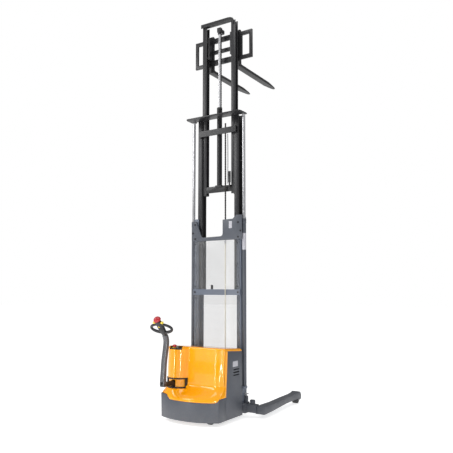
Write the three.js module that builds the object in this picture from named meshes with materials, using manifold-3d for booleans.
// Straddle stacker with a three-stage mast, shown with the mast fully raised.
// Units are millimetres. +Z is up, +Y points forward along the forks, +X is the truck's right-hand side.
// The geometry is laid out with X = 0 on the truck's centre line, Y = 0 at the rearmost point of the skirt
// and Z = 0 on the floor. The whole group is then shifted in Y so that the origin lies on the floor, in the
// middle of the truck's length.
import * as THREE from 'three';
import { mergeVertices } from 'three/addons/utils/BufferGeometryUtils.js';
import Module from 'manifold-3d';

const wasm = await Module();
wasm.setup();

// ---- Driving dimensions -------------------------------------------------------------------------
const GAP = 0.3;                    // clearance kept between touching pieces
const ROUND = 24;                   // sides of an ordinary round piece

// Body of the truck
const BODY_HALF = 400;              // half width over the side panels
const PANEL_THICK = 8;
const REAR_RADIUS = 680;            // plan radius of the rear skirt
const SKIRT_BOTTOM = 45;
const SKIRT_TOP = 267;
const SKIRT_STEP_TOP = 318;         // raised part of the skirt under the tiller
const SKIRT_STEP_START = -285;      // where the raised part begins to fall, and where it has fallen
const SKIRT_STEP_END = -225;
const LEFT_BULGE = 20;              // how far the skirt and the hood's foot swell out on the tiller side
const SIDE_START_Y = 278;           // where the side panels begin, at skirt height
const PANEL_TOP_START_Y = 318;      // where the side panels begin, at their top
const PANEL_TOP = 835;
const BODY_FRONT_Y = 655;
const HOOD_TOP = 865;               // at TOP_LEVEL_Y; the top falls towards the mast
const TOP_FALL = 0.08;
const TOP_LEVEL_Y = 330;
const HOOD_THICK = 6;
const WELL_LEFT = -312;              // console well in the hood
const WELL_RIGHT = -140;
const WELL_FRONT_Y = 232;
const WELL_FLOOR = 838;
const ESTOP_X = -256;
const ESTOP_Y = 145;
const ESTOP_STEM = 11;
const ESTOP_FOOT = 832;
const KEY_STEM = 8;
const KEY_X = -213;
const KEY_Y = 158;
const VENT_HEIGHTS = [541, 573, 605];
const VENT_HALF_HEIGHT = 6.5;
const VENT_START_Y = 445;
const VENT_END_Y = 580;

// Steering column, tiller and drive
const STEER_X = -240;
const STEER_Y = 240;
const COLUMN_RADIUS = 150;
const SLOT_ANGLE = 72;              // half angle over the steering slot's trim, in degrees
const SLOT_END_BAR = 20;            // width of the trim's end bars, in degrees
const SLOT_LOW = 388;
const SLOT_HIGH = 506;
const DRUM_RADIUS = COLUMN_RADIUS - 15;
const HEAD_PLATE_TOP = 326;         // top of the steering head, which the motor and the bracket stand on
const PIVOT_Y = -92;
const PIVOT_Z = 449;
const HEAD_Y = -65;                 // root of the tiller head
const HEAD_Z = 1024;
const HEAD_TILT = 39;               // lean of the head towards the operator, in degrees
const DECK_TOP = 312;
const DRIVE_WHEEL_RADIUS = 115;
const CASTER_X = 240;
const CASTER_Y = 235;
const CASTER_TRAIL = 35;
const CASTER_RADIUS = 75;

// Straddle legs
const RECEIVER_BACK = 725;
const RECEIVER_FRONT = 828;
const RECEIVER_BOTTOM = 50;
const RECEIVER_TOP = 175;
const LEG_INNER = 517;               // inner and outer faces at the heel
const LEG_OUTER = 641;
const TOE_INNER = 487;               // and over the load wheel
const TOE_OUTER = 591;
const LEG_BACK_Y = 770;
const LEG_TOP = 130;
const LEG_BOTTOM = 50;
const LOAD_WHEEL_Y = 1855;
const LOAD_WHEEL_RADIUS = 52;
const LEG_END_Y = 1930;

// Mast
const OUTER_BACK = 697;             // rear and front faces of each stage's uprights
const OUTER_FRONT = 827;
const MIDDLE_BACK = 712;
const MIDDLE_FRONT = 812;
const INNER_BACK = 727;
const INNER_FRONT = 797;
const OUTER_INNER_FACE = 295;       // face of each upright towards the truck's centre line
const MIDDLE_INNER_FACE = 250;
const INNER_INNER_FACE = 195;
const OUTER_TIE_BACK = 668;         // rear face of the cross members of the outer and middle stages
const MIDDLE_TIE_BACK = 686;
const TIE_THICK = 14;
const TOP_PLATE_LOW = 2190;
const TOP_PLATE_HIGH = 2505;
const FOOT_LOW = 352;               // plate under the side cylinders
const FOOT_HIGH = 382;
const GUARD_BACK = 671;
const GUARD_THICK = 4;
const OUTER_TOP = 2490;
const OUTER_HALF = 360;
const MIDDLE_HALF = 318;
const INNER_HALF = 262;
const MIDDLE_TOP = 3840;
const MIDDLE_BOTTOM = 1492;
const CROSSHEAD_THICK = 16;
const INNER_TOP = 5150;
const INNER_BOTTOM = 2800;
const SIDE_CYLINDER_X = 392;
const SIDE_CYLINDER_Y = 720;
const SIDE_CYLINDER_TOP = 2455;
const CENTRE_CYLINDER_Y = 750;
const CENTRE_CYLINDER_FOOT = 2925;
const CENTRE_CYLINDER_TOP = 3980;
const SHEAVE_Y = 815;
const SHEAVE_Z = 5060;
const SHEAVE_RADIUS = 32;

// Carriage and forks
const CARRIAGE_BACK = 832;
const CARRIAGE_FRONT = 857;
const CARRIAGE_HALF = 455;
const CARRIAGE_LOW = 4630;
const CARRIAGE_HIGH = 5015;
const FORK_X = 215;
const FORK_WIDTH = 84;
const FORK_LOW = 4545;
const FORK_TIP_Y = 1930;

// ---- Finishes -----------------------------------------------------------------------------------
const finish = (color, roughness, metalness) => ({ color, roughness, metalness });
const ORANGE = finish(0xffb228, 0.25, 0.0);
const GREY = finish(0x585c64, 0.55, 0.1);
const MAST_GREY = finish(0x69707d, 0.5, 0.2);
const BLACK_STEEL = finish(0x323234, 0.5, 0.3);
const BLACK_PLASTIC = finish(0x18181a, 0.5, 0.0);
const RUBBER = finish(0x141414, 0.85, 0.0);
const RED = finish(0xc02028, 0.35, 0.0);
const YELLOW = finish(0xf0d820, 0.4, 0.0);
const CHROME = finish(0xd8dade, 0.12, 1.0);
const STEEL = finish(0x9a9da2, 0.4, 0.9);
const CLEAR = finish(0xeef0f0, 0.15, 0.0);
const CREAM = finish(0xd8d2b4, 0.6, 0.0);

const stacker = new THREE.Group();

function add(name, geometry, look, parent = stacker) {
  const mesh = new THREE.Mesh(geometry, new THREE.MeshStandardMaterial(look));
  mesh.name = name;
  parent.add(mesh);
  return mesh;
}

// ---- Solid helpers ------------------------------------------------------------------------------
function welded(geometry) {
  const bare = geometry.clone();
  bare.deleteAttribute('normal');
  bare.deleteAttribute('uv');
  return mergeVertices(bare, 1e-4);
}

function toSolid(geometry) {
  const mesh = welded(geometry);
  return new wasm.Manifold(new wasm.Mesh({
    numProp: 3,
    vertProperties: new Float32Array(mesh.attributes.position.array),
    triVerts: new Uint32Array(mesh.index.array),
  }));
}

function toGeometry(solid) {
  const mesh = solid.getMesh();
  const geometry = new THREE.BufferGeometry();
  geometry.setAttribute('position', new THREE.BufferAttribute(new Float32Array(mesh.vertProperties), 3));
  geometry.setIndex(new THREE.BufferAttribute(new Uint32Array(mesh.triVerts), 1));
  geometry.computeVertexNormals();
  return geometry;
}

function join(...geometries) {
  return toGeometry(geometries.map(toSolid).reduce((sum, next) => sum.add(next)));
}

function cut(geometry, ...tools) {
  return toGeometry(tools.map(toSolid).reduce((rest, tool) => rest.subtract(tool), toSolid(geometry)));
}

function common(first, second) {
  return toGeometry(toSolid(first).intersect(toSolid(second)));
}

// Box between two corners.
function block(x0, x1, y0, y1, z0, z1) {
  const geometry = new THREE.BoxGeometry(x1 - x0, y1 - y0, z1 - z0);
  return geometry.translate((x0 + x1) / 2, (y0 + y1) / 2, (z0 + z1) / 2);
}

function outline(points) {
  return new THREE.Shape(points.map(([u, v]) => new THREE.Vector2(u, v)));
}

// Plan outline [x, y] carried up from z0 to z1.
function upright(shape, z0, z1) {
  const flat = shape instanceof THREE.Shape ? shape : outline(shape);
  return new THREE.ExtrudeGeometry(flat, { depth: z1 - z0, bevelEnabled: false, curveSegments: 10 })
    .translate(0, 0, z0);
}

// Side outline [y, z] carried across from x0 to x1.
function across(shape, x0, x1) {
  const flat = shape instanceof THREE.Shape ? shape : outline(shape);
  const geometry = new THREE.ExtrudeGeometry(flat, { depth: x1 - x0, bevelEnabled: false,
    curveSegments: 10 });
  geometry.rotateX(Math.PI / 2);
  geometry.rotateZ(Math.PI / 2);
  return geometry.translate(x0, 0, 0);
}

// Front outline [x, z] carried along from y0 to y1.
function along(shape, y0, y1) {
  const flat = shape instanceof THREE.Shape ? shape : outline(shape);
  const geometry = new THREE.ExtrudeGeometry(flat, { depth: y1 - y0, bevelEnabled: false,
    curveSegments: 10 });
  geometry.rotateX(Math.PI / 2);
  return geometry.translate(0, y1, 0);
}

function rod(radius, z0, z1, x, y, sides = ROUND) {
  const geometry = new THREE.CylinderGeometry(radius, radius, z1 - z0, sides);
  return geometry.rotateX(Math.PI / 2).translate(x, y, (z0 + z1) / 2);
}

function crossRod(radius, x0, x1, y, z, sides = ROUND) {
  const geometry = new THREE.CylinderGeometry(radius, radius, x1 - x0, sides);
  return geometry.rotateZ(Math.PI / 2).translate((x0 + x1) / 2, y, z);
}

// Profile of [radius, height] points turned about a vertical axis through x, y.
function turned(profile, x, y, sides = ROUND) {
  const points = profile.map(([r, z]) => new THREE.Vector2(r, z));
  return new THREE.LatheGeometry(points, sides).rotateX(Math.PI / 2).translate(x, y, 0);
}

// Profile of [radius, offset] points turned about a cross axis through y, z.
function wheel(profile, x, y, z, sides = 24) {
  const points = profile.map(([r, offset]) => new THREE.Vector2(r, offset));
  return new THREE.LatheGeometry(points, sides).rotateZ(-Math.PI / 2).translate(x, y, z);
}

// Ring sector about the steering column, centred on the rearward direction.
function columnSector(innerRadius, outerRadius, halfAngleDeg, z0, z1) {
  const half = THREE.MathUtils.degToRad(halfAngleDeg);
  const steps = 14;
  const points = [];
  for (let i = 0; i <= steps; i += 1) {
    const a = -half + (2 * half * i) / steps;
    points.push([STEER_X + outerRadius * Math.sin(a), STEER_Y - outerRadius * Math.cos(a)]);
  }
  for (let i = steps; i >= 0; i -= 1) {
    const a = -half + (2 * half * i) / steps;
    points.push([STEER_X + innerRadius * Math.sin(a), STEER_Y - innerRadius * Math.cos(a)]);
  }
  return upright(points, z0, z1);
}

const sides = [['left', -1], ['right', 1]];
const ordered = (a, b) => (a < b ? [a, b] : [b, a]);

function mirrored(points, sign) {
  return sign > 0 ? points : points.map(([x, y]) => [-x, y]).reverse();
}

// ---- Skirt, side panels and chassis -------------------------------------------------------------
// Plan depth of the rear arc at a place x. The tiller side is flatter than the other.
function rearArc(x) {
  if (x > 0) return REAR_RADIUS - Math.sqrt(REAR_RADIUS * REAR_RADIUS - x * x);
  return 96 * (-x / (BODY_HALF + LEFT_BULGE)) ** 2.2;
}

// The skirt's wall in plan, as one closed ring. The bulge is the extra half width on the tiller side.
function skirtRing(bulge) {
  const steps = 24;
  const corner = 6;
  const outer = [];
  const inside = [];
  const left = BODY_HALF + bulge;
  const wall = PANEL_THICK;
  outer.push([-BODY_HALF, SIDE_START_Y], [-left, rearArc(-left) + 12]);
  inside.push([-BODY_HALF + wall, SIDE_START_Y], [-left + wall, rearArc(-left) + 14]);
  for (let i = 0; i <= steps; i += 1) {
    const x = -left + corner + ((left + BODY_HALF - 2 * corner) * i) / steps;
    outer.push([x, rearArc(x)]);
    const inner = -left + corner + wall + ((left + BODY_HALF - 2 * (corner + wall)) * i) / steps;
    inside.push([inner, rearArc(inner) + wall]);
  }
  outer.push([BODY_HALF, rearArc(BODY_HALF) + 10], [BODY_HALF, SIDE_START_Y]);
  inside.push([BODY_HALF - wall, rearArc(BODY_HALF) + 14], [BODY_HALF - wall, SIDE_START_Y]);
  return [...outer, ...inside.reverse()];
}

// Outline of what is cut away above the skirt, seen from behind: level in the middle, raised under the
// tiller and turned up at the right-hand corner. The lift is the gap kept by the piece that sits on it.
function skirtTopLine(lift) {
  return [
    [SKIRT_STEP_START - 10, SKIRT_STEP_TOP + lift], [SKIRT_STEP_START + 2, SKIRT_STEP_TOP - 12 + lift],
    [SKIRT_STEP_END - 12, SKIRT_TOP + 4 + lift], [SKIRT_STEP_END, SKIRT_TOP + lift],
    [BODY_HALF - 50, SKIRT_TOP + lift], [BODY_HALF - 26, SKIRT_TOP + 8 + lift],
    [BODY_HALF - 9, SKIRT_TOP + 22 + lift], [BODY_HALF - 2, SKIRT_TOP + 42 + lift],
    [BODY_HALF + 9, SKIRT_TOP + 42 + lift],
  ];
}

function buildSkirt() {
  const wall = loft([
    { z: SKIRT_BOTTOM, points: skirtRing(LEFT_BULGE - 14) },
    { z: SKIRT_STEP_TOP, points: skirtRing(LEFT_BULGE) },
  ]);
  const above = along([...skirtTopLine(0), [BODY_HALF + 9, SKIRT_STEP_TOP + 9],
    [SKIRT_STEP_START - 10, SKIRT_STEP_TOP + 9]], -20, SIDE_START_Y + 10);
  add('rear_skirt', cut(wall, above), GREY);
}

function buildSidePanels() {
  const profile = [
    [SIDE_START_Y + GAP, SKIRT_BOTTOM], [BODY_FRONT_Y, SKIRT_BOTTOM],
    [BODY_FRONT_Y, fallen(PANEL_TOP, BODY_FRONT_Y)], [PANEL_TOP_START_Y, fallen(PANEL_TOP,
    PANEL_TOP_START_Y)],
    [SIDE_START_Y + GAP, SKIRT_TOP],
  ];
  const slots = VENT_HEIGHTS.map((z) => block(-BODY_HALF - 1, BODY_HALF + 1, VENT_START_Y, VENT_END_Y,
    z - VENT_HALF_HEIGHT, z + VENT_HALF_HEIGHT));
  for (const [side, sign] of sides) {
    const x0 = sign > 0 ? BODY_HALF - PANEL_THICK : -BODY_HALF;
    add(`side_panel_${side}`, cut(across(profile, x0, x0 + PANEL_THICK), ...slots), GREY);
  }
}

function buildChassis() {
  const plate = across([
    [405, 60], [BODY_FRONT_Y - 4, 60], [BODY_FRONT_Y - 4, 790], [BODY_FRONT_Y - 14, 790],
    [BODY_FRONT_Y - 14, 72], [405, 72], [405, DECK_TOP], [178, DECK_TOP], [178, DECK_TOP - 12],
    [395, DECK_TOP - 12], [395, 60],
  ], -375, 375);
  const bearingHole = rod(96, DECK_TOP - 30, DECK_TOP + 10, STEER_X, STEER_Y, 32);
  const kingpin = rod(14, 262, DECK_TOP - 5, CASTER_X, CASTER_Y);
  const casterPad = rod(42, DECK_TOP - 24, DECK_TOP - 5, CASTER_X, CASTER_Y);
  add('chassis_frame', join(cut(plate, bearingHole), casterPad, kingpin), GREY);
}

// ---- Hood ---------------------------------------------------------------------------------------
// The rear face, as a plan depth y for a place x and height z. A round column stands around the steering
// axis on the left, a hollow sweep joins it to the flat middle, and the foot flares out over the skirt.
function smooth(edge0, edge1, value) {
  const t = Math.min(1, Math.max(0, (value - edge0) / (edge1 - edge0)));
  return t * t * (3 - 2 * t);
}

// Height of a point of the upper body once the top has its fall towards the mast.
function fallen(z, y) {
  return z - TOP_FALL * (y - TOP_LEVEL_Y) * smooth(600, 820, z);
}

function hoodRear(x, z) {
  const lean = 190 + 25 * smooth(400, 840, z);
  const corner = Math.max(0, Math.abs(x) - 290) / 110;
  const face = lean + 100 * (1 - Math.sqrt(Math.max(0, 1 - corner * corner)));
  const dx = x - STEER_X;
  const inColumn = Math.max(0, COLUMN_RADIUS * COLUMN_RADIUS - dx * dx);
  const column = STEER_Y - Math.sqrt(inColumn) + 12 * smooth(560, 850, z);
  const blend = 24;
  const mix = Math.min(1, Math.max(0, 0.5 + (face - column) / (2 * blend)));
  const upper = face + (column - face) * mix - blend * mix * (1 - mix);
  const foot = rearArc(x) + 3;
  return foot + (upper - foot) * smooth(SKIRT_TOP + 10, 440, z);
}

const HOOD_EDGE = 30;

// Plan outline of the hood at one height, as [x, y] points from the front left round the rear to the front
// right. An inset moves it inwards, for the inner face and for the rounded top edge.
function hoodRing(z, inset, frontY) {
  const panelEdge = SIDE_START_Y + ((PANEL_TOP_START_Y - SIDE_START_Y) * (z - SKIRT_TOP)) / (PANEL_TOP - SKIRT_TOP);
  const seated = z < PANEL_TOP + 0.1;
  const half = BODY_HALF - inset;
  const sunk = seated ? BODY_HALF - PANEL_THICK - GAP - inset : half;
  const edge = seated ? panelEdge - GAP : panelEdge;
  const count = 34;
  const rear = [];
  for (let i = 0; i <= count; i += 1) {
    const share = Math.sin(((-1 + (2 * i) / count) * Math.PI) / 2);
    const swell = share < 0 ? LEFT_BULGE * (1 - smooth(SKIRT_STEP_TOP, 450, z)) : 0;
    const onCurve = hoodRear(share * (BODY_HALF + swell), z) + inset;
    rear.push([share * (half + swell), Math.min(onCurve, edge - 6)]);
  }
  return [[-sunk, frontY], [-sunk, edge], [-half, edge - 1], ...rear, [half, edge - 1], [sunk, edge],
    [sunk, frontY]];
}

function loft(rings) {
  const size = rings[0].points.length;
  const positions = [];
  const indices = [];
  for (const { points, z } of rings) {
    for (const [x, y] of points) positions.push(x, y, fallen(z, y));
  }
  for (let r = 0; r < rings.length - 1; r += 1) {
    for (let i = 0; i < size; i += 1) {
      const a = r * size + i;
      const b = r * size + ((i + 1) % size);
      indices.push(a, b, b + size, a, b + size, a + size);
    }
  }
  const caps = [[0, true], [rings.length - 1, false]];
  for (const [r, flip] of caps) {
    const flat = rings[r].points.map(([x, y]) => new THREE.Vector2(x, y));
    for (const [a, b, c] of THREE.ShapeUtils.triangulateShape(flat, [])) {
      const base = r * size;
      indices.push(base + a, base + (flip ? c : b), base + (flip ? b : c));
    }
  }
  const geometry = new THREE.BufferGeometry();
  geometry.setAttribute('position', new THREE.Float32BufferAttribute(positions, 3));
  geometry.setIndex(indices);
  return geometry;
}

function hoodSolid(inset, bottom, top, frontY) {
  const levels = [bottom, 290, 320, 350, 380, 410, 450, 540, 640, 730, 780, PANEL_TOP, PANEL_TOP + 0.3];
  const rings = levels.map((z) => ({ z, points: hoodRing(Math.max(z, SKIRT_TOP), inset, frontY) }));
  const radius = HOOD_EDGE - inset;
  const base = top - radius;
  for (const angle of [25, 45, 62, 78, 90]) {
    const a = THREE.MathUtils.degToRad(angle);
    const z = base + radius * Math.sin(a);
    if (z > PANEL_TOP + 1) {
      rings.push({ z, points: hoodRing(z, inset + radius * (1 - Math.cos(a)), frontY) });
    }
  }
  return loft(rings);
}

function buildHood() {
  const outside = hoodSolid(0, SKIRT_TOP + GAP, HOOD_TOP, BODY_FRONT_Y - 15);
  const inside = hoodSolid(HOOD_THICK, SKIRT_TOP - 20, HOOD_TOP - HOOD_THICK, BODY_FRONT_Y + 20);
  const step = along([...skirtTopLine(GAP), [BODY_HALF + 9, SKIRT_TOP - 5], [-BODY_HALF - 40, SKIRT_TOP - 5],
    [-BODY_HALF - 40, SKIRT_STEP_TOP + GAP]], -40, SIDE_START_Y + 60);
  const slotReach = COLUMN_RADIUS + 40;
  const slot = columnSector(COLUMN_RADIUS - 40, slotReach, SLOT_ANGLE + 0.2, SLOT_LOW - GAP, SLOT_HIGH + GAP);
  const consoleWell = block(WELL_LEFT, WELL_RIGHT, 20, WELL_FRONT_Y, WELL_FLOOR, HOOD_TOP + 40);
  add('hood', cut(outside, inside, step, slot, consoleWell), ORANGE);

  const surround = columnSector(COLUMN_RADIUS - 7, COLUMN_RADIUS + 9, SLOT_ANGLE, SLOT_LOW, SLOT_HIGH);
  const opening = columnSector(COLUMN_RADIUS - 20, slotReach, SLOT_ANGLE - SLOT_END_BAR, SLOT_LOW + 14,
    SLOT_HIGH - 14);
  add('slot_trim', cut(surround, opening), RUBBER);

  const well = block(WELL_LEFT + GAP, WELL_RIGHT - GAP, 20, WELL_FRONT_Y - GAP, WELL_FLOOR + GAP,
    HOOD_TOP + 40);
  const sockets = [
    rod(ESTOP_STEM + GAP, 820, 920, ESTOP_X, ESTOP_Y),
    rod(KEY_STEM + GAP, 820, 920, KEY_X, KEY_Y),
  ];
  const screen = block(-192, -154, 168, 212, 840, 861);
  const surface = common(well, hoodSolid(8, SKIRT_TOP, HOOD_TOP - 24, BODY_FRONT_Y));
  add('instrument_panel', cut(join(surface, screen), ...sockets), BLACK_PLASTIC);
  add('estop_button', turned([[0, ESTOP_FOOT], [ESTOP_STEM, ESTOP_FOOT], [ESTOP_STEM, 868], [21, 872], [25,
    879],
    [21, 890], [9, 895], [0, 896]], ESTOP_X, ESTOP_Y), RED);
  const barrel = rod(KEY_STEM, ESTOP_FOOT, 862, KEY_X, KEY_Y);
  add('key_switch', join(barrel, block(KEY_X - 2, KEY_X + 2, KEY_Y - 12, KEY_Y + 12, 860, 882)), STEEL);
}

// ---- Contents of the body -----------------------------------------------------------------------
function buildBodyContents() {
  add('battery_pack', join(block(-370, 370, 415, 630, 74, 540), block(-300, -240, 500, 560, 539, 556),
    block(240, 300, 500, 560, 539, 556)), BLACK_PLASTIC);
  add('motor_controller', join(block(-180, 120, 440, 610, 542, 600), block(-150, -130, 460, 590, 599, 618),
    block(-90, -70, 460, 590, 599, 618), block(-30, -10, 460, 590, 599, 618)), STEEL);
  add('hydraulic_power_pack', join(block(60, 330, 290, 385, DECK_TOP + GAP, 500),
    crossRod(52, 80, 300, 250, 390, 20), block(120, 200, 230, 300, DECK_TOP + GAP, 345)), BLACK_STEEL);
}

// ---- Steered drive unit -------------------------------------------------------------------------
function buildDriveUnit() {
  add('steering_head', turned([[0, 288], [90, 288], [90, DECK_TOP + 1], [132, DECK_TOP + 1],
    [132, HEAD_PLATE_TOP], [0, HEAD_PLATE_TOP]], STEER_X, STEER_Y, 32), BLACK_STEEL);
  add('traction_motor', turned([[0, HEAD_PLATE_TOP + GAP], [72, HEAD_PLATE_TOP + GAP], [72, 540], [60,
    556], [0, 556]],
    STEER_X, STEER_Y), BLACK_STEEL);

  const inner = DRUM_RADIUS - 4;
  const low = HEAD_PLATE_TOP + 1;
  const shell = turned([[inner, low], [DRUM_RADIUS, low], [DRUM_RADIUS, 522], [inner, 522], [inner, low]],
    STEER_X, STEER_Y, 30);
  const foot = turned([[100, low], [DRUM_RADIUS - 1, low], [DRUM_RADIUS - 1, low + 6], [100, low + 6],
    [100, low]],
    STEER_X, STEER_Y, 30);
  const window = block(STEER_X - 20, STEER_X + 20, 60, 175, 320, 482);
  add('steering_drum', cut(join(shell, foot), window), ORANGE);

  const side = new THREE.Shape();
  side.moveTo(155, HEAD_PLATE_TOP + GAP);
  side.lineTo(155, 476);
  side.lineTo(PIVOT_Y, PIVOT_Z + 25);
  side.absarc(PIVOT_Y, PIVOT_Z, 25, Math.PI / 2, (3 * Math.PI) / 2, false);
  side.lineTo(60, PIVOT_Z - 25);
  side.lineTo(105, 400);
  side.lineTo(105, HEAD_PLATE_TOP + GAP);
  const bracket = across(side, STEER_X - 18, STEER_X + 18);
  add('tiller_bracket', join(bracket, crossRod(9, STEER_X - 34, STEER_X + 34, PIVOT_Y, PIVOT_Z)),
    BLACK_STEEL);

  const axleZ = DRIVE_WHEEL_RADIUS;
  add('drive_gearbox', join(
    block(STEER_X - 62, STEER_X + 40, STEER_Y - 50, STEER_Y + 50, 256, 288 - GAP),
    crossRod(70, STEER_X - 62, STEER_X - 38, STEER_Y, axleZ),
    block(STEER_X - 62, STEER_X - 38, STEER_Y - 50, STEER_Y + 50, axleZ, 257),
    crossRod(16, STEER_X - 40, STEER_X + 30, STEER_Y, axleZ),
  ), STEEL);
  add('drive_wheel', wheel([[17, -33], [60, -33], [64, -28], [96, -28], [98, -35], [110, -35], [115, -30],
    [115, 30], [110, 35], [98, 35], [96, 28], [64, 28], [60, 33], [17, 33], [17, -33]],
  STEER_X, STEER_Y, axleZ), RUBBER);
}

function buildCaster() {
  const axleY = CASTER_Y - CASTER_TRAIL;
  const cheek = new THREE.Shape();
  cheek.moveTo(CASTER_Y + 34, 250);
  cheek.lineTo(CASTER_Y - 34, 250);
  cheek.lineTo(axleY - 22, CASTER_RADIUS);
  cheek.absarc(axleY, CASTER_RADIUS, 22, Math.PI, 2 * Math.PI, false);
  const crown = rod(38, 238, 287.5, CASTER_X, CASTER_Y);
  const fork = cut(
    join(crown, across(cheek, CASTER_X - 36, CASTER_X - 28), across(cheek, CASTER_X + 28, CASTER_X + 36),
      block(CASTER_X - 36, CASTER_X + 36, CASTER_Y - 30, CASTER_Y + 30, 230, 251)),
    rod(14.4, 255, 320, CASTER_X, CASTER_Y),
  );
  add('caster_fork', join(fork, crossRod(8, CASTER_X - 40, CASTER_X + 40, axleY, CASTER_RADIUS)), STEEL);
  add('caster_wheel', wheel([[8.5, -26], [20, -26], [24, -18], [52, -18], [56, -24], [72, -24], [75, -19],
    [75, 19],
    [72, 24], [56, 24], [52, 18], [24, 18], [20, 26], [8.5, 26], [8.5, -26]],
  CASTER_X, axleY, CASTER_RADIUS), RUBBER);
}

// ---- Tiller -------------------------------------------------------------------------------------
function buildTiller() {
  const spine = new THREE.CatmullRomCurve3([
    [PIVOT_Y, PIVOT_Z], [-90, 520], [-84, 600], [-74, 720], [-52, 840], [-38, 940], [-48, 990], [HEAD_Y,
    HEAD_Z],
  ].map(([y, z]) => new THREE.Vector3(y, z, 0)));
  const steps = 18;
  const back = [];
  const front = [];
  for (let i = 0; i <= steps; i += 1) {
    const at = spine.getPoint(i / steps);
    const heading = spine.getTangent(i / steps);
    const half = 26 - 6 * Math.min(1, (3 * i) / steps);
    back.push([at.x - half * heading.y, at.y + half * heading.x]);
    front.push([at.x + half * heading.y, at.y - half * heading.x]);
  }
  const round = [];
  for (let i = 1; i < 8; i += 1) {
    const a = Math.PI + (Math.PI * i) / 8;
    round.push([PIVOT_Y + 26 * Math.cos(a), PIVOT_Z + 26 * Math.sin(a)]);
  }
  const half = 29;
  const bar = across([...back.reverse(), ...round, ...front], STEER_X - half, STEER_X + half);
  const notch = block(STEER_X - 18.6, STEER_X + 18.6, PIVOT_Y - 60, PIVOT_Y + 60, PIVOT_Z - 60, PIVOT_Z + 34);
  const pinHole = crossRod(9.4, STEER_X - 60, STEER_X + 60, PIVOT_Y, PIVOT_Z);
  add('tiller_arm', cut(bar, notch, pinHole), GREY);
  buildTillerHead();
}

const headGroup = new THREE.Group();
headGroup.position.set(STEER_X, HEAD_Y, HEAD_Z);
headGroup.rotation.x = THREE.MathUtils.degToRad(HEAD_TILT);
stacker.add(headGroup);

const LOOP_CENTRE = 106;
const LOOP_HALF_WIDTH = 165;
const LOOP_HALF_HEIGHT = 78;
const GRIP_WIDTH = 28;
const BUTTERFLY_Z = 201;

// The head is laid out in its own frame: x across, y through its thickness, z up along the head.
function buildTillerHead() {
  const ring = new THREE.Shape();
  ring.absellipse(0, LOOP_CENTRE, LOOP_HALF_WIDTH, LOOP_HALF_HEIGHT, 0, 2 * Math.PI, false);
  const hole = new THREE.Path();
  hole.absellipse(0, LOOP_CENTRE, LOOP_HALF_WIDTH - GRIP_WIDTH, LOOP_HALF_HEIGHT - GRIP_WIDTH, 0,
    2 * Math.PI, true);
  ring.holes.push(hole);
  const loops = along(ring, -14, 14);
  const body = along([[-26, 9], [26, 9], [38, 40], [42, 130], [40, 210], [28, 222], [-28, 222], [-40, 210],
    [-42, 130], [-38, 40]], -26, 26);
  const shaftHole = crossRod(6.4, -60, 60, -2, BUTTERFLY_Z);
  const plungerHole = rod(9.4, 208, 240, 0, 0);
  const hornHole = new THREE.CylinderGeometry(9.4, 9.4, 20, 20).translate(0, -24, 150);
  const rockerWell = block(-22.4, 22.4, -40, -16, 92, 122);
  add('tiller_head', cut(join(loops, body), shaftHole, plungerHole, hornHole, rockerWell), BLACK_PLASTIC,
    headGroup);

  add('belly_button', turned([[0, 214], [9, 214], [9, 231], [44, 231], [45, 242], [38, 259], [22, 269], [0,
    273]],
    0, 0, 28), RED, headGroup);
  const wing = (x0, x1) => across([[-16, BUTTERFLY_Z - 11], [2, BUTTERFLY_Z - 13], [12, BUTTERFLY_Z],
    [2, BUTTERFLY_Z + 13], [-16, BUTTERFLY_Z + 11], [-22, BUTTERFLY_Z]], x0, x1);
  const shaft = crossRod(6, -50, 50, -2, BUTTERFLY_Z);
  add('speed_butterfly', join(wing(-72, -43), wing(43, 72), shaft), YELLOW, headGroup);
  add('horn_button', new THREE.CylinderGeometry(9, 9, 12, 20).translate(0, -25, 150), YELLOW, headGroup);
  add('lift_rocker', across([[-30, 94], [-27, 107], [-30, 120], [-20, 118], [-20, 96]], -22, 22),
    BLACK_PLASTIC,
    headGroup);
}

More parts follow.
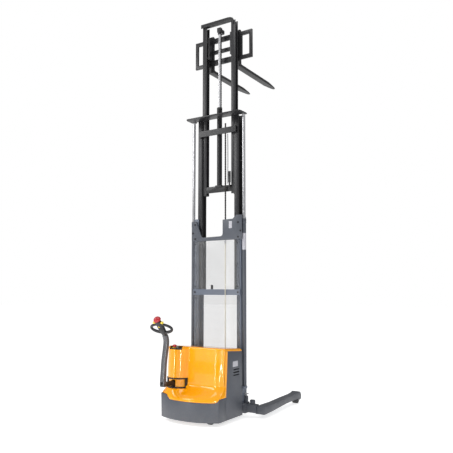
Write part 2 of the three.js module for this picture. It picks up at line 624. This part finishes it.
// ---- Straddle legs ------------------------------------------------------------------------------
function buildLegs() {
  const tube = block(-BODY_HALF, BODY_HALF, RECEIVER_BACK, RECEIVER_FRONT, RECEIVER_BOTTOM, RECEIVER_TOP);
  const bore = block(-BODY_HALF - 9, BODY_HALF + 9, RECEIVER_BACK + 12, RECEIVER_FRONT - 12,
    RECEIVER_BOTTOM + 12,
    RECEIVER_TOP - 12);
  const lugs = sides.map(([, s]) => block(s * 384 - 14, s * 384 + 14, 760, 800, RECEIVER_TOP - 1, 250));
  add('leg_receiver', join(cut(tube, bore), ...lugs), GREY);

  const housing = new THREE.Shape();
  housing.moveTo(LEG_BACK_Y, LEG_BOTTOM);
  housing.lineTo(1500, LEG_BOTTOM + 14);
  housing.lineTo(1780, 66);
  housing.lineTo(LEG_END_Y - 12, 50);
  housing.absarc(LOAD_WHEEL_Y + 8, 92, 68, -0.6, 2.15, false);
  housing.lineTo(1715, LEG_TOP + 8);
  housing.lineTo(1150, LEG_TOP);
  housing.lineTo(LEG_BACK_Y, LEG_TOP + 12);
  for (const [side, s] of sides) {
    const place = (x) => s * x;
    const plan = [[LEG_INNER, LEG_BACK_Y], [LEG_OUTER, LEG_BACK_Y], [LEG_OUTER - 8, 1000], [TOE_OUTER, 1480],
      [TOE_OUTER, LEG_END_Y + 5], [TOE_INNER, LEG_END_Y + 5], [TOE_INNER, 1480]];
    const beam = common(across(housing, ...ordered(place(480), place(660))), upright(mirrored(plan, s), 0,
      300));
    const wheelWell = block(...ordered(place(TOE_INNER + 12), place(TOE_OUTER - 12)), 1786, LEG_END_Y + 20,
      -10, 132);
    const crossBar = block(...ordered(place(120), place(LEG_INNER + 20)), RECEIVER_BACK + 14,
      RECEIVER_FRONT - 14,
      RECEIVER_BOTTOM + 14, RECEIVER_TOP - 14);
    const stop = block(...ordered(place(446), place(498)), RECEIVER_BACK + 30, RECEIVER_FRONT - 30,
      RECEIVER_TOP - 20, 212);
    const axle = crossRod(9, ...ordered(place(TOE_INNER + 2), place(TOE_OUTER - 2)), LOAD_WHEEL_Y,
      LOAD_WHEEL_RADIUS);
    add(`leg_${side}`, join(cut(beam, wheelWell), crossBar, stop, axle), GREY);
    add(`load_wheel_${side}`, wheel([[9.5, -37], [24, -37], [26, -34], [49, -34], [52, -31], [52, 31], [49,
      34],
      [26, 34], [24, 37], [9.5, 37], [9.5, -37]], place((TOE_INNER + TOE_OUTER) / 2), LOAD_WHEEL_Y,
    LOAD_WHEEL_RADIUS), RUBBER);
  }
}

// ---- Mast ---------------------------------------------------------------------------------------
// Channel or beam sections for one upright, open towards the truck's centre line on the right-hand side.
function channelSection(inner, outer, back, front, flange, web) {
  return [[inner, back], [outer, back], [outer, front], [inner, front], [inner, front - flange],
    [outer - web, front - flange], [outer - web, back + flange], [inner, back + flange]];
}

function beamSection(inner, outer, back, front, flange, webStart, webEnd) {
  return [[inner, back], [outer, back], [outer, back + flange], [webEnd, back + flange],
    [webEnd, front - flange], [outer, front - flange], [outer, front], [inner, front],
    [inner, front - flange], [webStart, front - flange], [webStart, back + flange], [inner, back + flange]];
}

// Cross member seen from above: a thin plate whose end blocks reach forward to the uprights.
function tie(half, blockInner, blockOuter, back, thick, front, z0, z1) {
  return upright([
    [-half, back], [half, back], [half, back + thick], [blockOuter, back + thick], [blockOuter, front],
    [blockInner, front], [blockInner, back + thick], [-blockInner, back + thick], [-blockInner, front],
    [-blockOuter, front], [-blockOuter, back + thick], [-half, back + thick],
  ], z0, z1);
}

function buildOuterMast() {
  for (const [side, s] of sides) {
    const section = mirrored(channelSection(OUTER_INNER_FACE, OUTER_HALF, OUTER_BACK, OUTER_FRONT, 14, 14),
      s);
    add(`outer_upright_${side}`, upright(section, RECEIVER_TOP + GAP, OUTER_TOP), MAST_GREY);
  }
  const topPlate = tie(388, 300, 358, OUTER_TIE_BACK, TIE_THICK, OUTER_BACK - GAP, TOP_PLATE_LOW,
    TOP_PLATE_HIGH);
  const recess = new THREE.Shape();
  recess.moveTo(-312, 2520);
  recess.lineTo(-312, 2448);
  recess.lineTo(-236, 2262);
  recess.quadraticCurveTo(-226, 2240, -200, 2238);
  recess.lineTo(60, 2243);
  recess.absarc(60, 2283, 40, -0.5 * Math.PI, 0, false);
  recess.lineTo(100, 2520);
  const lowered = along([[99, 2456], [250, 2460], [300, 2500], [300, 2520], [99, 2520]], 600, 720);
  const hornTop = along([[-400, 2456], [-311, 2450], [-311, 2520], [-400, 2520]], 600, 720);
  const corner = along([[-400, 2180], [-345, 2180], [-400, 2212]], 600, 720);
  const chainAnchor = block(104, 150, 676, 712, 2218, 2246);
  add('outer_top_plate', join(cut(topPlate, along(recess, 600, 720), lowered, hornTop, corner),
    chainAnchor), GREY);
  add('outer_mid_beam', tie(356, 300, 356, OUTER_TIE_BACK, TIE_THICK, OUTER_BACK - GAP, 1489, 1563),
    MAST_GREY);

  const front = OUTER_BACK - GAP;
  const foot = upright([[-418, OUTER_TIE_BACK], [418, OUTER_TIE_BACK], [418, 746], [364, 746], [364, front],
    [-364, front], [-364, 746], [-418, 746]], FOOT_LOW, FOOT_HIGH);
  add('outer_bottom_beam', join(foot, block(-358, 358, OUTER_TIE_BACK, front, 180, FOOT_LOW + 1)), MAST_GREY);
  add('guard_upper', tie(345, 312, 340, GUARD_BACK, GUARD_THICK, front, 1566, TOP_PLATE_LOW - 3), CLEAR);
  add('guard_lower', tie(345, 312, 340, GUARD_BACK, GUARD_THICK, front, 620, 1486), CLEAR);

  for (const [side, s] of sides) {
    const top = SIDE_CYLINDER_TOP;
    add(`side_cylinder_${side}`, turned([[0, FOOT_HIGH + GAP], [24, FOOT_HIGH + GAP], [24, 430], [25, 432],
      [25, top - 60], [28, top - 58], [28, top], [21.5, top], [21.5, 410], [0, 410]],
    s * SIDE_CYLINDER_X, SIDE_CYLINDER_Y), MAST_GREY);
  }
}

function buildMiddleMast() {
  for (const [side, s] of sides) {
    const section = mirrored(beamSection(MIDDLE_INNER_FACE, MIDDLE_HALF, MIDDLE_BACK, MIDDLE_FRONT, 12,
      275, 287), s);
    add(`middle_upright_${side}`, upright(section, MIDDLE_BOTTOM, MIDDLE_TOP), BLACK_STEEL);
  }
  const half = [[385, 556], [412, 566], [424, 600], [426, 700], [424, 748], [366, 748], [362,
    MIDDLE_BACK - GAP]];
  const plan = [...half, ...half.map(([x, y]) => [-x, y]).reverse()];
  add('middle_crosshead', upright(plan, MIDDLE_TOP - CROSSHEAD_THICK, MIDDLE_TOP), BLACK_STEEL);
  add('middle_second_beam', tie(290, 254, 290, MIDDLE_TIE_BACK, TIE_THICK, MIDDLE_BACK - GAP, 3600, 3680),
    BLACK_STEEL);
  add('middle_bottom_beam', block(-290, 290, MIDDLE_BACK - TIE_THICK, MIDDLE_BACK - GAP, MIDDLE_BOTTOM + 2,
    MIDDLE_BOTTOM + 69), BLACK_STEEL);
  for (const [side, s] of sides) {
    add(`side_rod_${side}`, rod(20, 2330, MIDDLE_TOP - CROSSHEAD_THICK - GAP, s * SIDE_CYLINDER_X,
      SIDE_CYLINDER_Y), CHROME);
  }
}

function buildInnerMast() {
  for (const [side, s] of sides) {
    const section = mirrored(beamSection(INNER_INNER_FACE, INNER_HALF, INNER_BACK, INNER_FRONT, 10, 223,
      233), s);
    add(`inner_upright_${side}`, upright(section, INNER_BOTTOM, INNER_TOP), BLACK_STEEL);
  }
  const seat = INNER_TOP + GAP;
  const hanger = along([[-284, seat], [195, seat], [224, INNER_TOP - 22], [228, INNER_TOP - 46], [248,
    INNER_TOP - 46],
    [244, INNER_TOP - 6], [226, INNER_TOP + 28], [190, INNER_TOP + 45], [150, INNER_TOP + 50], [-284,
    INNER_TOP + 50]],
  MIDDLE_BACK + GAP, INNER_BACK - GAP);
  add('inner_top_bar', join(hanger, block(-258, 190, MIDDLE_BACK + 1, 768, seat, INNER_TOP + 44)),
    BLACK_STEEL);
  add('inner_bottom_beam', join(block(GAP - INNER_INNER_FACE, INNER_INNER_FACE - GAP, INNER_BACK,
    INNER_BACK + 10, 2830,
    CENTRE_CYLINDER_FOOT - 10), block(-50, 50, 718, 790, CENTRE_CYLINDER_FOOT - 25, CENTRE_CYLINDER_FOOT)),
    BLACK_STEEL);

  const top = CENTRE_CYLINDER_TOP;
  const barrel = turned([[0, CENTRE_CYLINDER_FOOT + GAP], [34, CENTRE_CYLINDER_FOOT + GAP], [34, top - 70],
    [36, top - 68],
    [36, top], [19, top], [19, CENTRE_CYLINDER_FOOT + 15], [0, CENTRE_CYLINDER_FOOT + 15]], 0,
    CENTRE_CYLINDER_Y);
  const anchor = cut(block(-16, 16, CENTRE_CYLINDER_Y + 26, 796, top - 50, top),
    rod(30, top - 90, top + 10, 0, CENTRE_CYLINDER_Y));
  add('free_lift_cylinder', join(barrel, anchor), BLACK_STEEL);
}

function buildRodAndChain() {
  const yoke = join(
    rod(17, 3905, 5020, 0, CENTRE_CYLINDER_Y),
    rod(26, 5010, 5040, 0, CENTRE_CYLINDER_Y),
    block(-30, 30, CENTRE_CYLINDER_Y - 26, CENTRE_CYLINDER_Y + 26, 5035, 5100),
    block(-30, -19, CENTRE_CYLINDER_Y, SHEAVE_Y + 12, 5040, 5084),
    block(19, 30, CENTRE_CYLINDER_Y, SHEAVE_Y + 12, 5040, 5084),
    crossRod(7, -28, 28, SHEAVE_Y, SHEAVE_Z),
  );
  add('free_lift_rod', yoke, CHROME);
  add('chain_sheave', wheel([[7.5, -17], [SHEAVE_RADIUS, -17], [SHEAVE_RADIUS, -13], [SHEAVE_RADIUS - 4, -12],
    [SHEAVE_RADIUS - 4, 12], [SHEAVE_RADIUS, 13], [SHEAVE_RADIUS, 17], [7.5, 17], [7.5, -17]],
  0, SHEAVE_Y, SHEAVE_Z), STEEL);
  const runY = SHEAVE_Y - SHEAVE_RADIUS;
  add('anchor_chain', block(-10, 10, runY - 5, runY + 5, CENTRE_CYLINDER_TOP + GAP, 5034), BLACK_STEEL);
  add('stage_chain', block(110, 130, 702, 711, 2246 + GAP, 3760), BLACK_STEEL);
}

// ---- Carriage and forks -------------------------------------------------------------------------
function buildCarriage() {
  const plate = block(-CARRIAGE_HALF, CARRIAGE_HALF, CARRIAGE_BACK, CARRIAGE_FRONT, CARRIAGE_LOW,
    CARRIAGE_HIGH);
  const windows = [
    [-CARRIAGE_HALF + 42, -300, CARRIAGE_LOW + 52, CARRIAGE_HIGH - 52],
    [300, CARRIAGE_HALF - 42, CARRIAGE_LOW + 52, CARRIAGE_HIGH - 52],
    [-150, 150, CARRIAGE_LOW + 75, CARRIAGE_LOW + 160],
    [-150, 150, CARRIAGE_LOW + 212, CARRIAGE_HIGH - 70],
  ].map(([x0, x1, z0, z1]) => block(x0, x1, CARRIAGE_BACK - 9, CARRIAGE_FRONT + 9, z0, z1));
  const guides = sides.flatMap(([, s]) => [
    block(s * 175 - 10, s * 175 + 10, 746, CARRIAGE_BACK + 1, CARRIAGE_LOW + 65, CARRIAGE_HIGH - 10),
    crossRod(24, Math.min(s * 184, s * 218), Math.max(s * 184, s * 218), 762, CARRIAGE_LOW + 90),
    crossRod(24, Math.min(s * 184, s * 218), Math.max(s * 184, s * 218), 762, CARRIAGE_HIGH - 60),
  ]);
  add('carriage_frame', join(cut(plate, ...windows), ...guides), BLACK_STEEL);

  for (const [side, s] of sides) {
    const back = CARRIAGE_FRONT + GAP;
    const profile = [
      [back, FORK_LOW], [FORK_TIP_Y - 260, FORK_LOW], [FORK_TIP_Y, FORK_LOW + 14], [FORK_TIP_Y,
      FORK_LOW + 24],
      [FORK_TIP_Y - 260, FORK_LOW + 38], [back + 48, FORK_LOW + 38], [back + 37, FORK_LOW + 50],
      [back + 34, 5060], [back, 5062],
    ];
    const x = s * FORK_X;
    const half = FORK_WIDTH / 2;
    const plan = upright([[x - half, 800], [x + half, 800], [x + half, FORK_TIP_Y - 230], [x + half - 14,
      FORK_TIP_Y - 60],
      [x + 14, FORK_TIP_Y + 1], [x - 14, FORK_TIP_Y + 1], [x - half + 14, FORK_TIP_Y - 60],
      [x - half, FORK_TIP_Y - 230]], FORK_LOW - 10, 5100);
    const hook = block(x - half, x + half, CARRIAGE_BACK - 2, back + 1, CARRIAGE_HIGH + GAP,
      CARRIAGE_HIGH + 20);
    add(`fork_${side}`, join(common(across(profile, x - half, x + half), plan), hook), BLACK_STEEL);
  }
}

function buildMastHose() {
  add('mast_hose', rod(6, 800, 2189, 146, 661, 10), CREAM);
}

buildSkirt();
buildSidePanels();
buildChassis();
buildHood();
buildBodyContents();
buildDriveUnit();
buildCaster();
buildTiller();
buildLegs();
buildOuterMast();
buildMiddleMast();
buildInnerMast();
buildRodAndChain();
buildCarriage();
buildMastHose();

// Put the origin in the middle of the truck's length.
const extent = new THREE.Box3().setFromObject(stacker, true);
stacker.position.y = -(extent.min.y + extent.max.y) / 2;
stacker.updateMatrixWorld(true);

export default stacker;
